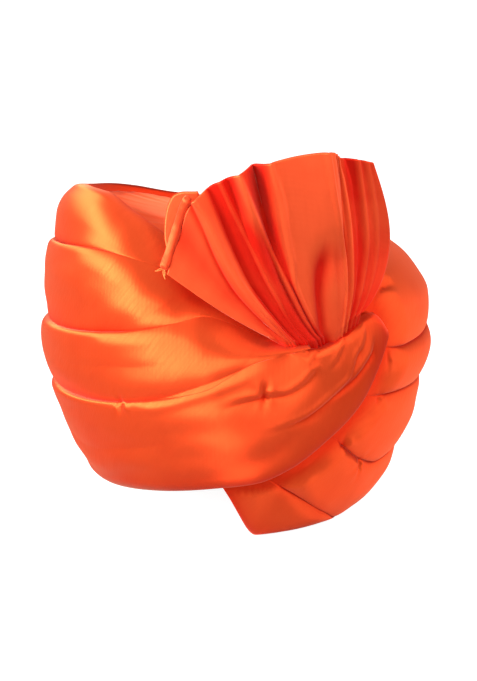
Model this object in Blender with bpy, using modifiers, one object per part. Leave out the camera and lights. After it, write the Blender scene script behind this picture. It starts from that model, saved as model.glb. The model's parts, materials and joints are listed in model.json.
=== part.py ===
"""A tied turban (pagri) of padded satin: four wraps, a brow wrap, a crown cloth and a pleated fan.

Metres, +Z up. The front faces -Y and the origin is on the surface that the rim rests on, below the
middle of the head opening. Directions are degrees round the head, counted from the front by the
left (-X), the back and the right (+X), as the cloth is wound. Heights are shares of WRAP_HEIGHT.
"""

import math

import bmesh
import bpy
import numpy as np

# The wound wall
WRAP_HEIGHT = 0.232
LEFT_REACH = 0.127
RIGHT_REACH = 0.1405
FRONT_REACH = 0.140
BACK_REACH = 0.150
WALL = 0.016
PUFF = 0.0055
SEAT = 0.001
SEAM = 0.001

# The front sweep, which is laid over the ends of the wraps and gathered to the knot
SWEEP_STAND = 0.0015
SWEEP_THICKNESS = 0.0065
RIB_DEPTH = 0.0035
KNOT = -33
KNOT_RISE = 0.014
KNOT_ROUND = 0.004
KNOT_SECTIONS = 2.5

# The crown cloth
CROWN_HEIGHT = 0.197
CROWN_CLOTH = 0.003
CROWN_DROP = 0.008
CROWN_CLEARANCE = 0.0014

# The pleated fan
FAN_LENGTH = 0.132
FAN_CLOTH = 0.002
FAN_STAND = 0.0045
FAN_LEAN = 0.053
FAN_SEAT = 0.0016
PLEAT_DEPTH = 0.009
PLEAT_ROOT = 0.2
FAN_BOW = 0.012
BACK_FOLD_GAP = 0.0085
BACK_FOLD_ROOT_GAP = 0.0032
HEM_RADIUS = 0.0028
HEM_GAP = 0.001

# Directions between which all wraps run side by side
LEFT_START = 24
RIGHT_END = 300

# Directions over which the sweep thins to a plain wrap inside and outside, and over which its ribs
# and the wraps under the fan fade
LAID_OVER = (4, 16)
RAISED = (-8, 50)
GATHERED = (-28, 6)
UNDER_FAN = (-2, 12)

# How far from the sweep's edge the wraps below it are pressed flat, in degrees and as a share of height
PRESSED = (3, 12)
CROSSING_MARGIN = 0.02

# Wall sections from the rim to the crest, as shares of the reaches, with the angle of the cloth's face
FORM = [
    # level, left share, right share, front share, face angle
    (0.00, 0.68, 0.705, 0.815, 0),
    (0.12, 0.77, 0.80, 0.87, 0),
    (0.30, 0.89, 0.90, 0.94, 0),
    (0.50, 0.98, 0.97, 0.99, 0),
    (0.65, 0.965, 1.00, 1.00, 4),
    (0.80, 0.94, 0.98, 0.97, 12),
    (0.90, 0.88, 0.90, 0.90, 36),
    (1.00, 0.74, 0.75, 0.76, 74),
]

# Height of the top edge all round
CREST = [
    # direction, height
    (-60, 0.79),
    (-38, 0.80),
    (0, 0.84),
    (21, 0.88),
    (38, 0.94),
    (54, 0.975),
    (90, 0.95),
    (135, 0.885),
    (158, 0.84),
    (180, 0.82),
    (225, 0.80),
    (270, 0.79),
    (322, 0.80),
    (360, 0.84),
]

# Creases between the wraps, each from the knot round the left, the back and the right to the front
RIM = [
    # direction, height
    (-50, 0.60),
    (-44.5, 0.49),
    (-40, 0.40),
    (-30, 0.30),
    (-20, 0.225),
    (-10, 0.185),
    (3, 0.17),
    (24, 0.14),
    (53, 0.10),
    (90, 0.06),
    (128, 0.0),
    (306, 0.0),
    (321, 0.05),
    (339, 0.15),
    (352, 0.23),
]
BROW_RIM = [
    # direction, height
    (300, 0.0),
    (347, 0.0),
    (362, 0.19),
]
LOW_CREASE = [
    # direction, height
    (-22, 0.585),
    (-9, 0.56),
    (5, 0.48),
    (24, 0.43),
    (49, 0.39),
    (90, 0.36),
    (180, 0.27),
    (270, 0.17),
    (300, 0.17),
    (311, 0.20),
    (326, 0.30),
    (338, 0.42),
]
MIDDLE_CREASE = [
    # direction, height
    (-50, 0.60),
    (-34, 0.60),
    (-22, 0.60),
    (-12, 0.62),
    (6, 0.68),
    (14, 0.66),
    (32, 0.62),
    (68, 0.57),
    (180, 0.47),
    (270, 0.38),
    (311, 0.40),
    (332, 0.46),
]
HIGH_CREASE = [
    # direction, height
    (-38, 0.73),
    (10, 0.78),
    (46, 0.83),
    (68, 0.81),
    (180, 0.65),
    (270, 0.53),
    (300, 0.53),
    (322, 0.57),
]

# Where the sweep's edge lies over the ends of the wraps
CROSSING = [
    # height, direction
    (0.17, 3),
    (0.185, -10),
    (0.225, -20),
    (0.30, -30),
    (0.40, -40),
    (0.47, -44),
    (0.60, -46),
    (0.72, -43),
]

# Outer face of a wrap from its tucked lower edge to its rounded upper lip
PUFF_FORM = [
    # place across, share of the puff
    (0.00, 0.00),
    (0.12, 0.45),
    (0.40, 0.85),
    (0.70, 1.00),
    (0.92, 0.85),
    (1.00, 0.35),
]
INNER_PLACES = (1.0, 0.75, 0.5, 0.25, 0.0)

# Creases between the gathered strands of the sweep, as places across it
RIB_CREASES = (0.40, 0.70)
RIB_HALF = 0.07

# Pleats of the fan, from its lower left edge to its right edge
FAN_FOLDS = [
    # root direction, tip angle, length share, bow share, depth share
    (-12.0, 158.0, 0.93, -0.20, 0.10),
    (-14.2, 147.0, 0.965, -0.30, -0.35),
    (-16.4, 136.0, 1.02, -0.50, 0.50),
    (-18.6, 130.5, 1.02, -0.60, -0.30),
    (-20.8, 127.3, 1.01, -0.65, 0.15),
    (-22.6, 124.8, 1.00, -0.70, -0.40),
    (-24.4, 121.2, 0.99, -0.75, 0.60),
    (-26.0, 116.8, 0.98, -0.75, -0.90),
    (-27.6, 113.0, 0.97, -0.70, 0.50),
    (-29.6, 104.3, 0.95, -0.30, 0.20),
    (-31.6, 96.2, 0.94, 0.15, 0.70),
    (-33.4, 93.2, 0.93, 0.20, 0.00),
    (-35.4, 90.6, 0.885, 0.20, -0.80),
    (-38.2, 86.2, 0.875, 0.60, -0.20),
    (-41.0, 81.6, 0.86, 1.35, 0.30),
]

# The turned-back cloth behind the fan's left end, in the same columns
BACK_FOLD = [
    (-11.5, 156.0, 0.95, -0.10, -0.10),
    (-13.0, 149.5, 1.05, -0.20, -0.15),
    (-14.5, 140.5, 1.12, -0.35, -0.15),
    (-16.0, 134.5, 1.04, -0.40, -0.20),
]

# Numbers of steps
FRONT_STEPS = 14
ROUND_STEPS = 30
END_STEPS = 10
CROWN_SIDES = 40
CROWN_RINGS = 5
FAN_STEPS = 8

SATIN = (0.80, 0.085, 0.022)
SHADED_SATIN = (0.72, 0.055, 0.018)


def smooth(table, at, column=1):
    """Reads one column of a table by a curve that passes no row's value."""
    rows = np.array(table, float)
    x, y = rows[:, 0], rows[:, column]
    slope = np.diff(y) / np.diff(x)
    before, after = slope[:-1], slope[1:]
    same_way = before * after > 0
    total = np.where(same_way, before + after, 1)
    inner = np.where(same_way, 2 * before * after / total, 0)
    tangent = np.concatenate([slope[:1], inner, slope[-1:]])
    at = np.clip(at, x[0], x[-1])
    k = np.clip(np.searchsorted(x, at, side="right") - 1, 0, len(x) - 2)
    step = x[k + 1] - x[k]
    t = (at - x[k]) / step
    return (
        (2 * t**3 - 3 * t**2 + 1) * y[k]
        + (t**3 - 2 * t**2 + t) * step * tangent[k]
        + (3 * t**2 - 2 * t**3) * y[k + 1]
        + (t**3 - t**2) * step * tangent[k + 1]
    )


def ease(value, low, high):
    """Rises smoothly from 0 at low to 1 at high."""
    t = np.clip((value - low) / (high - low), 0, 1)
    return t * t * (3 - 2 * t)


def wall_point(direction, height, lift):
    """A point of the wall at a direction and height, lifted off its face by a length."""
    angle = np.radians(direction)
    sine, cosine = np.sin(angle), np.cos(angle)
    level = height / smooth(CREST, direction)
    side = np.where(sine > 0, LEFT_REACH, RIGHT_REACH)
    length = np.where(cosine > 0, FRONT_REACH, BACK_REACH)
    side_share = np.where(sine > 0, smooth(FORM, level, 1), smooth(FORM, level, 2))
    x = -sine * side * side_share
    y = -cosine * length * smooth(FORM, level, 3)
    face = np.radians(smooth(FORM, level, 4))
    across, along = -sine / side, -cosine / length
    size = np.hypot(across, along)
    x = x + lift * np.cos(face) * across / size
    y = y + lift * np.cos(face) * along / size
    z = height * WRAP_HEIGHT + lift * np.sin(face)
    return np.stack(np.broadcast_arrays(x, y, z), -1)


def new_object(name, mesh, material):
    obj = bpy.data.objects.new(name, mesh)
    obj.data.materials.append(material)
    turban.objects.link(obj)
    return obj


def satin(name, colour, roughness):
    material = bpy.data.materials.new(name)
    material.use_nodes = True
    shader = material.node_tree.nodes["Principled BSDF"]
    shader.inputs["Base Color"].default_value = (*colour, 1)
    shader.inputs["Roughness"].default_value = roughness
    shader.inputs["Metallic"].default_value = 0.0
    return material


def loft(name, sections, material):
    """A closed body through closed sections with as many points each."""
    bm = bmesh.new()
    rings = [[bm.verts.new(p) for p in section] for section in sections]
    count = len(rings[0])
    for ring, following in zip(rings, rings[1:]):
        for k in range(count):
            n = (k + 1) % count
            bm.faces.new((ring[k], ring[n], following[n], following[k]))
    bm.faces.new(rings[0][::-1])
    bm.faces.new(rings[-1])
    mesh = bpy.data.meshes.new(name)
    bm.to_mesh(mesh)
    bm.free()
    mesh.shade_smooth()
    mesh.set_sharp_from_angle(angle=math.radians(50))
    return new_object(name, mesh, material)


def sheet(name, grid, thickness, material):
    """A thin cloth through a grid of points, thickened evenly to both sides."""
    rows, columns = grid.shape[:2]
    bm = bmesh.new()
    verts = [[bm.verts.new(p) for p in row] for row in grid]
    for i in range(rows - 1):
        for j in range(columns - 1):
            bm.faces.new(
                (verts[i][j], verts[i + 1][j], verts[i + 1][j + 1], verts[i][j + 1])
            )
    mesh = bpy.data.meshes.new(name)
    bm.to_mesh(mesh)
    bm.free()
    mesh.shade_smooth()
    obj = new_object(name, mesh, material)
    solid = obj.modifiers.new("cloth", "SOLIDIFY")
    solid.thickness = thickness
    solid.offset = 0
    return obj


def edge_directions(start, end):
    """Directions of the sections along one edge, the same for every wrap on the shared round."""
    first = np.linspace(start, LEFT_START, FRONT_STEPS + 1)
    middle = np.linspace(LEFT_START, RIGHT_END, ROUND_STEPS + 1)[1:]
    last = np.linspace(RIGHT_END, end, END_STEPS + 1)[1:]
    return np.concatenate([first, middle, last])


def curl_rise(across):
    """Height in metres by which the gathered end of the sweep curls up at a place across it."""
    place = np.clip(across, 0, 1)
    return KNOT_RISE * np.sin(math.pi * (1 - place) ** 2.2)


def puff_at(across, direction, height, knot_end, ribbed):
    """How far the filling lifts the outer face at a place across the band."""
    puff = PUFF * smooth(PUFF_FORM, across) * np.ones_like(direction)
    if ribbed:
        gathered = 1 - ease(direction, *GATHERED)
        for place in RIB_CREASES:
            dent = np.clip(1 - np.abs(across - place) / RIB_HALF, 0, 1)
            puff = puff - RIB_DEPTH * dent * gathered
        puff = puff - KNOT_ROUND * knot_end
    level = np.clip(height + CROSSING_MARGIN, CROSSING[0][0], CROSSING[-1][0])
    crossing = 360 + smooth(CROSSING, level)
    uncovered = ease(crossing - direction, *PRESSED) * ease(direction, *UNDER_FAN)
    return puff * uncovered


def band(name, low, high, low_direction, high_direction, material, ribbed=False, swept=False):
    """A padded band of cloth between two creases, with the directions of its sections along each.

    Its sections slant at both ends, because its lower edge starts and stops elsewhere than its upper.
    """
    ribs = {place + shift for place in RIB_CREASES for shift in (-RIB_HALF, 0, RIB_HALF)}
    places = {row[0] for row in PUFF_FORM} | (ribs if ribbed else set())
    outer_places = np.array(sorted(places))
    inner_places = np.array(INNER_PLACES)
    knot_end = 1 - ease(np.arange(len(low_direction)), 0, KNOT_SECTIONS)[:, None]
    half_seam = SEAM / 2 / WRAP_HEIGHT
    high_height = smooth(high, high_direction)[:, None] - half_seam
    low_height = smooth(low, low_direction)[:, None]
    low_height = low_height + half_seam * (low_height > 0)

    def on_wall(across):
        direction = low_direction[:, None] * (1 - across) + high_direction[:, None] * across
        height = low_height * (1 - across) + high_height * across
        if ribbed:
            height = height + curl_rise(across) / WRAP_HEIGHT * knot_end
        return direction, height

    direction, height = on_wall(outer_places)
    raised = 1 - ease(direction, *RAISED) if swept else np.zeros_like(direction)
    puff = puff_at(outer_places, direction, height, knot_end, ribbed)
    outer = -SEAT * (1 - raised) + SWEEP_THICKNESS * raised + puff
    outside = wall_point(direction, height, outer)

    direction, height = on_wall(inner_places)
    laid_over = 1 - ease(direction, *LAID_OVER) if swept else np.zeros_like(direction)
    inner = -WALL * (1 - laid_over) + SWEEP_STAND * laid_over
    inside = wall_point(direction, height, inner)
    sections = [np.concatenate([out, back]) for out, back in zip(outside, inside)]
    return loft(name, sections, material)


def build_wraps(material):
    """The four turns of the cloth, and the brow wrap under their ends."""
    wraps = [
        # name, low crease, high crease, its ends below, its ends above, ribbed, swept
        ("wrap_1", RIM, LOW_CREASE, (-50, 352), (-22, 338), True, True),
        ("wrap_2", LOW_CREASE, MIDDLE_CREASE, (-22, 338), (-22, 332), False, True),
        ("wrap_3", MIDDLE_CREASE, HIGH_CREASE, (-38, 332), (-38, 321.6), False, False),
        ("wrap_4", HIGH_CREASE, CREST, (-38, 321.6), (-38, 321.6), False, False),
    ]
    for name, low, high, low_ends, high_ends, ribbed, swept in wraps:
        below = edge_directions(*low_ends)
        above = edge_directions(*high_ends)
        band(name, low, high, below, above, material, ribbed, swept)
    above = edge_directions(-50, 352)[1 - END_STEPS :]
    below = np.linspace(above[0], BROW_RIM[-1][0], len(above))
    band("brow_wrap", BROW_RIM, RIM, below, above, material)


def build_crown(material):
    """The cloth over the crown, whose edge is tucked inside the top wrap."""
    direction = np.linspace(0, 360, CROWN_SIDES, endpoint=False)
    crest = smooth(CREST, direction)
    edge = wall_point(direction, crest, -CROWN_DROP)
    radius = np.hypot(edge[:, 0], edge[:, 1])
    edge[:, :2] *= (1 - CROWN_CLEARANCE / radius)[:, None]
    bm = bmesh.new()
    centre = bm.verts.new((0, 0, CROWN_HEIGHT))
    rings = []
    for k in range(1, CROWN_RINGS + 1):
        share = k / CROWN_RINGS
        ring = edge * share
        ring[:, 2] = CROWN_HEIGHT + (edge[:, 2] - CROWN_HEIGHT) * share**2
        rings.append([bm.verts.new(p) for p in ring])
    for k in range(CROWN_SIDES):
        n = (k + 1) % CROWN_SIDES
        bm.faces.new((centre, rings[0][n], rings[0][k]))
        for ring, outer in zip(rings, rings[1:]):
            bm.faces.new((ring[k], ring[n], outer[n], outer[k]))
    bmesh.ops.recalc_face_normals(bm, faces=bm.faces)
    mesh = bpy.data.meshes.new("crown")
    bm.to_mesh(mesh)
    bm.free()
    mesh.shade_smooth()
    crown = new_object("crown", mesh, material)
    solid = crown.modifiers.new("cloth", "SOLIDIFY")
    solid.thickness = CROWN_CLOTH
    solid.offset = 0


def knot_centre():
    """Middle of the gathered knot, from which the fan's pleats spread."""
    return wall_point(KNOT, smooth(MIDDLE_CREASE, KNOT), FAN_STAND)


def fan_point(x, z, lift):
    """A point of the upright oval that the fan stands on, leaning back as it rises."""
    rise = (z - knot_centre()[2]) / FAN_LENGTH
    scale = 1 - FAN_LEAN * rise
    side = np.where(x < 0, LEFT_REACH, RIGHT_REACH) * scale + FAN_STAND
    front = FRONT_REACH * scale + FAN_STAND
    y = -front * np.sqrt(1 - (x / side) ** 2)
    normal = np.stack([x / side**2, y / front**2], -1)
    normal /= np.linalg.norm(normal, axis=-1, keepdims=True)
    return np.stack(
        [x + lift * normal[..., 0], y + lift * normal[..., 1], z + 0 * lift], -1
    )


def fan_grid(folds, root_gap, tip_gap, columns):
    """Points of a pleated cloth, a row for each place across and a column along its length."""
    rows = np.array([(k, *fold) for k, fold in enumerate(folds)], float)
    across = np.linspace(0, len(folds) - 1, columns)
    root_direction, angle, length, bow, depth = (
        smooth(rows[:, [0, k]], across) for k in range(1, 6)
    )
    knot_place = (root_direction - RIM[0][0]) / (LOW_CREASE[0][0] - RIM[0][0])
    seat = FAN_SEAT + curl_rise(knot_place)
    root_height = smooth(MIDDLE_CREASE, root_direction) + seat / WRAP_HEIGHT
    root = wall_point(root_direction, root_height, 0)
    centre = knot_centre()
    angle = np.radians(angle)
    tip_x = centre[0] + FAN_LENGTH * length * np.cos(angle)
    tip_z = centre[2] + FAN_LENGTH * length * np.sin(angle)
    share = np.linspace(0, 1, FAN_STEPS + 1)
    swell = np.sin(math.pi * share**0.75)
    x = root[:, 0, None] + (tip_x - root[:, 0])[:, None] * share
    x = x + FAN_BOW * bow[:, None] * swell
    z = root[:, 2, None] + (tip_z - root[:, 2])[:, None] * share
    opening = PLEAT_ROOT + (1 - PLEAT_ROOT) * ease(share, 0, 0.9)
    set_back = root_gap + (tip_gap - root_gap) * ease(share, 0, 0.5)
    lift = PLEAT_DEPTH * depth[:, None] * opening - set_back
    return fan_point(x, z, lift)


def build_fan(cloth, hem):
    """The pleated fan, its turned-back end, and the rolled hem of its left edge."""
    grid = fan_grid(FAN_FOLDS, 0, 0, 2 * len(FAN_FOLDS) - 1)
    sheet("fan", grid, FAN_CLOTH, cloth)
    back = fan_grid(
        BACK_FOLD, BACK_FOLD_ROOT_GAP, BACK_FOLD_GAP, 2 * len(BACK_FOLD) - 1
    )
    sheet("fan_back_fold", back, FAN_CLOTH, cloth)
    outward = grid[2, -1] - grid[2, -2]
    outward /= np.linalg.norm(outward)
    tips = grid[:5, -1] + outward * (HEM_RADIUS + HEM_GAP)
    curve = bpy.data.curves.new("fan_hem", "CURVE")
    curve.dimensions = "3D"
    curve.bevel_depth = HEM_RADIUS
    curve.bevel_resolution = 2
    curve.use_fill_caps = True
    spline = curve.splines.new("POLY")
    spline.points.add(len(tips) - 1)
    for point, place in zip(spline.points, tips):
        point.co = (*place, 1)
    new_object("fan_hem", curve, hem)


for old in list(bpy.data.objects):
    bpy.data.objects.remove(old)
turban = bpy.data.collections.new("turban")
bpy.context.scene.collection.children.link(turban)

build_wraps(satin("wrap_satin", SATIN, 0.38))
build_crown(satin("crown_satin", SATIN, 0.42))
build_fan(satin("fan_satin", SATIN, 0.36), satin("hem_satin", SHADED_SATIN, 0.45))
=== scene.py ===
"""Looks of the tied turban (pagri) in orange satin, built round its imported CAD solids.

Metres, +Z up, the front faces -Y. Directions are degrees round the head from the front by the
viewer's left, as the cloth is wound, and heights are shares of WRAP_HEIGHT, as in the part's
source. Values that end in MM, and tables that say so, are in millimetres.
"""

import json
import math

import bpy
import numpy as np
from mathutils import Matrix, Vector

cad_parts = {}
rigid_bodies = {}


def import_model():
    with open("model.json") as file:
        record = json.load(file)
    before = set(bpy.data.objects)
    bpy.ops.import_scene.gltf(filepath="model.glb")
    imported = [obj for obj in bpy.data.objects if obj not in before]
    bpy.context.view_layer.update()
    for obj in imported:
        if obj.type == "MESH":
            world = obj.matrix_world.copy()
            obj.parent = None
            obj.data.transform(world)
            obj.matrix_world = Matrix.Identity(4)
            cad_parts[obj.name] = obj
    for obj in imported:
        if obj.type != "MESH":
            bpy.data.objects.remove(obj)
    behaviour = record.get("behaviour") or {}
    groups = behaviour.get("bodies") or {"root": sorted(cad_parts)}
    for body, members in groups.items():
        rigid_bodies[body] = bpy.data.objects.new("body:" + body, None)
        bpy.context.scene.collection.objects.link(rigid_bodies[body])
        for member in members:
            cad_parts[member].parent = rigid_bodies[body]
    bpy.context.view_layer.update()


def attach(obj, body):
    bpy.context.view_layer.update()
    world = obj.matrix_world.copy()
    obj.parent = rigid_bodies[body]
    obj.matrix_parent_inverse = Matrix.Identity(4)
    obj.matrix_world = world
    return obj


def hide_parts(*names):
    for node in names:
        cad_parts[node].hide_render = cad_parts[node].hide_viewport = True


for leftover in list(bpy.data.objects):
    bpy.data.objects.remove(leftover)
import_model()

# Wrap 1 and the wall that all wraps lie on
# The real piece is one long padded band of satin, wound once round the head over a foam roll. Its
# front end is laid over the other wraps as a wide sweep, and gathered up to the knot.
WRAP_HEIGHT = 0.232
LEFT_REACH = 0.127
RIGHT_REACH = 0.1405
FRONT_REACH = 0.140
BACK_REACH = 0.150
WALL = 0.015  # thickness of the satin and the foam under it
MM_PER_DEGREE = 2.36  # length of one degree round the head
# How the wall bulges from the rim, at level 0, to the crest, at level 1, in shares of the reaches
FORM = [
    # level, left share, right share, front share, face angle
    (0.00, 0.68, 0.705, 0.815, 0),
    (0.12, 0.77, 0.80, 0.87, 0),
    (0.30, 0.89, 0.90, 0.94, 0),
    (0.50, 0.98, 0.97, 0.99, 0),
    (0.65, 0.965, 1.00, 1.00, 4),
    (0.80, 0.94, 0.98, 0.97, 12),
    (0.90, 0.88, 0.90, 0.90, 36),
    (1.00, 0.74, 0.75, 0.76, 74),
]
# The upper edge of the top wrap, the lower edge of wrap 1, and the crease between wraps 1 and 2
CREST = [
    # direction, height
    (-60, 0.79),
    (-38, 0.80),
    (0, 0.84),
    (21, 0.88),
    (38, 0.94),
    (54, 0.975),
    (90, 0.95),
    (135, 0.896),
    (158, 0.854),
    (180, 0.829),
    (225, 0.80),
    (270, 0.79),
    (322, 0.80),
    (360, 0.84),
]
RIM = [
    # direction, height
    (-50, 0.60),
    (-44.5, 0.49),
    (-40, 0.40),
    (-30, 0.30),
    (-20, 0.225),
    (-10, 0.185),
    (3, 0.17),
    (24, 0.14),
    (53, 0.10),
    (90, 0.06),
    (128, 0.0),
    (306, 0.0),
    (321, 0.05),
    (339, 0.15),
    (352, 0.23),
]
LOW_CREASE = [
    # direction, height
    (-22, 0.585),
    (-9, 0.56),
    (5, 0.48),
    (24, 0.43),
    (49, 0.39),
    (90, 0.36),
    (180, 0.27),
    (270, 0.17),
    (300, 0.17),
    (311, 0.20),
    (326, 0.30),
    (338, 0.42),
]

# Fold lines pressed into the satin: the lip is on the right of the way each one runs
FOLD_LINES = [
    # depth, width and lip in mm, then the route as directions and heights
    # the folds of the sweep, which run down from the knot
    (2.8, 2.0, 0.8, ((-42.5, 0.60), (-41.5, 0.548), (-39, 0.516), (-36, 0.484), (-32.5, 0.46),
                     (-29, 0.436), (-25, 0.404), (-22.5, 0.388), (-18.5, 0.372), (-14.5, 0.36),
                     (-9, 0.348))),
    (1.5, 1.6, 0.5, ((-37, 0.57), (-35.5, 0.53), (-34, 0.488), (-31.5, 0.464), (-26, 0.43))),
    (2.0, 2.2, 0.7, ((-24.5, 0.535), (-22.5, 0.508), (-20, 0.484), (-15.5, 0.46), (-9.5, 0.456),
                     (-4, 0.444), (2.5, 0.418))),
    (1.1, 1.6, 0.4, ((-39.5, 0.64), (-39, 0.592), (-37, 0.556), (-34, 0.528))),
    (1.0, 1.6, 0.4, ((-33.5, 0.625), (-31.5, 0.576), (-29.5, 0.54), (-26.5, 0.512))),
    (1.3, 1.6, 0.4, ((-26.5, 0.61), (-23.5, 0.568), (-22, 0.524))),
    (1.0, 2.6, 0.5, ((-20, 0.615), (-16.5, 0.584), (-12, 0.56))),
    # soft folds of the left wraps
    (1.3, 3.0, 0.8, ((30, 0.42), (20, 0.44), (9, 0.48), (2.5, 0.505), (-3, 0.53), (-8, 0.557),
                     (-15, 0.575))),
    (0.8, 4.0, 0.5, ((44, 0.605), (38, 0.61), (32, 0.62), (26, 0.632), (20, 0.645), (14, 0.66))),
    (0.7, 6.0, 0.4, ((78, 0.24), (60, 0.22), (40, 0.25), (20, 0.30), (6, 0.33))),
    (0.6, 5.0, 0.4, ((84, 0.46), (66, 0.47), (44, 0.50), (24, 0.53), (8, 0.56))),
    # short folds above the first roll on the right
    (5.0, 2.2, 1.0, ((314, 0.665), (310, 0.685), (305, 0.70), (300, 0.705))),
    (4.4, 2.0, 0.8, ((313, 0.70), (309, 0.725), (305, 0.75), (302, 0.77))),
    # soft folds of the back, which the photograph doesn't show
    (1.3, 4.0, 0.6, ((118, 0.19), (145, 0.18), (170, 0.15), (196, 0.12), (215, 0.11))),
    (1.5, 3.6, 0.7, ((150, 0.36), (176, 0.36), (204, 0.35), (230, 0.32), (252, 0.29))),
    (1.2, 4.0, 0.6, ((132, 0.60), (160, 0.575), (190, 0.555), (222, 0.52), (244, 0.48))),
    (1.4, 4.4, 0.7, ((166, 0.75), (196, 0.735), (226, 0.72), (256, 0.685), (280, 0.66))),
    (1.0, 3.6, 0.5, ((226, 0.22), (246, 0.20), (262, 0.16), (280, 0.12))),
]

# Tack stitches that hold the folds to the foam
TACKS = [
    # direction, height, depth, half width and half height in mm
    (32, 0.405, 2.0, 2.2, 5.5),
    (-10, 0.465, 2.4, 2.0, 7.0),
    (309, 0.505, 3.0, 1.4, 6.0),
    (311, 0.385, 2.4, 2.2, 2.6),
    (322, 0.275, 2.6, 2.2, 3.0),
    (313, 0.19, 2.8, 1.5, 4.5),
    (140, 0.22, 2.0, 2.4, 5.0),
    (205, 0.40, 2.0, 2.4, 5.0),
    (262, 0.30, 2.0, 2.4, 5.0),
]

# How the cloth meets at each crease on its way round, in millimetres: the lower wrap's level, with
# the radius and drop of its rolled lip, then the upper wrap's level, with those of its tuck
RIM_LOOK = [
    # direction, level, radius, drop, level, radius, drop
    (-50, 0, 4, 0.0, 1.0, 6, 2.0),
    (0, 0, 4, 0.0, 1.0, 8, 5.0),
    (60, 0, 4, 0.0, 1.0, 8, 5.0),
    (180, 0, 4, 0.0, 1.0, 8, 4.5),
    (300, 0, 4, 0.0, 1.0, 8, 4.5),
    (306, 1.5, 4, 1.5, 1.5, 8, 3.5),
    (316, 1.6, 4, 0.4, 1.6, 6, 0.4),
    (326, 2.0, 5, 0.3, 2.0, 5, 0.3),
    (338, 2.5, 7, 1.4, 2.5, 7, 1.4),
    (352, 2.5, 7, 1.8, 2.5, 7, 1.8),
]
LOW_LOOK = [
    # direction, level, radius, drop, level, radius, drop
    (-22, 3.4, 4, 0.0, 3.4, 4, 0.0),
    (-6, 3.8, 4, 0.0, 3.8, 4, 0.0),
    (5, 4.0, 4, 0.0, 3.9, 4, 0.0),
    (18, 4.6, 4, 0.6, 3.8, 4, 0.2),
    (34, 5.4, 4, 1.8, 3.0, 5, 0.6),
    (60, 6.0, 4, 2.6, 2.0, 6, 1.0),
    (100, 5.2, 5, 3.0, 1.4, 7, 1.8),
    (200, 3.2, 8, 3.0, 2.0, 8, 2.4),
    (280, 3.0, 8, 1.0, 2.9, 8, 0.9),
    (300, 3.0, 7, 1.2, 2.9, 7, 1.1),
    (314, 3.0, 7, 2.2, 2.8, 7, 2.0),
    (338, 3.2, 7, 3.0, 2.6, 7, 2.8),
]
MIDDLE_LOOK = [
    # direction, level, radius, drop, level, radius, drop
    (-22, 3.0, 4, 0.0, 3.0, 4, 0.0),
    (14, 3.4, 4, 0.0, 3.4, 4, 0.0),
    (24, 3.6, 4, 0.2, 3.5, 4, 0.1),
    (36, 4.8, 4, 1.6, 3.0, 5, 0.6),
    (60, 6.0, 4, 2.8, 1.8, 6, 1.2),
    (100, 5.4, 5, 3.2, 1.4, 7, 1.8),
    (200, 3.2, 8, 3.0, 2.0, 8, 2.4),
    (286, 3.0, 8, 0.6, 3.0, 8, 0.5),
    (302, 3.0, 7, 1.5, 2.9, 7, 1.3),
    (332, 3.2, 7, 3.0, 2.6, 7, 2.8),
]
HIGH_LOOK = [
    # direction, level, radius, drop, level, radius, drop
    (-38, 3.0, 4, 0.0, 3.0, 4, 0.0),
    (30, 3.6, 4, 0.0, 3.6, 4, 0.0),
    (42, 4.2, 5, 0.6, 3.6, 5, 0.3),
    (56, 5.4, 5, 2.0, 2.8, 6, 0.9),
    (72, 5.8, 5, 2.6, 2.4, 7, 1.5),
    (120, 4.8, 6, 3.0, 1.8, 8, 2.2),
    (200, 3.2, 8, 3.0, 2.0, 8, 2.4),
    (284, 3.4, 8, 1.4, 3.2, 9, 1.4),
    (304, 3.6, 8, 2.4, 3.2, 9, 2.4),
    (322, 3.6, 8, 3.2, 3.0, 9, 3.4),
]
# Swell of the foam between the creases
SWELL = [
    # direction, swell in mm
    (-50, 1.5),
    (-10, 1.2),
    (20, 1.6),
    (60, 1.8),
    (120, 3.0),
    (200, 4.0),
    (270, 3.6),
    (360, 3.6),
]


def read(table, at, column=1):
    """Reads one column of a table by a curve that passes no row's value."""
    rows = np.array(table, float)
    x, y = rows[:, 0], rows[:, column]
    slope = np.diff(y) / np.diff(x)
    before, after = slope[:-1], slope[1:]
    same_way = before * after > 0
    total = np.where(same_way, before + after, 1)
    inner = np.where(same_way, 2 * before * after / total, 0)
    tangent = np.concatenate([slope[:1], inner, slope[-1:]])
    at = np.clip(at, x[0], x[-1])
    k = np.clip(np.searchsorted(x, at, side="right") - 1, 0, len(x) - 2)
    step = x[k + 1] - x[k]
    t = (at - x[k]) / step
    return (
        (2 * t**3 - 3 * t**2 + 1) * y[k]
        + (t**3 - 2 * t**2 + t) * step * tangent[k]
        + (3 * t**2 - 2 * t**3) * y[k + 1]
        + (t**3 - t**2) * step * tangent[k + 1]
    )


def ease(value, low, high):
    """Rises smoothly from 0 at low to 1 at high."""
    t = np.clip((value - low) / (high - low), 0, 1)
    return t * t * (3 - 2 * t)


def wall_point(direction, height, lift):
    """A point of the wall at a direction and height, lifted off its face by a length."""
    angle = np.radians(direction)
    sine, cosine = np.sin(angle), np.cos(angle)
    level = height / read(CREST, direction)
    side = np.where(sine > 0, LEFT_REACH, RIGHT_REACH)
    length = np.where(cosine > 0, FRONT_REACH, BACK_REACH)
    side_share = np.where(sine > 0, read(FORM, level, 1), read(FORM, level, 2))
    x = -sine * side * side_share
    y = -cosine * length * read(FORM, level, 3)
    face = np.radians(read(FORM, level, 4))
    across, along = -sine / side, -cosine / length
    size = np.hypot(across, along)
    x = x + lift * np.cos(face) * across / size
    y = y + lift * np.cos(face) * along / size
    z = height * WRAP_HEIGHT + lift * np.sin(face)
    return np.stack(np.broadcast_arrays(x, y, z), -1)


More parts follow.
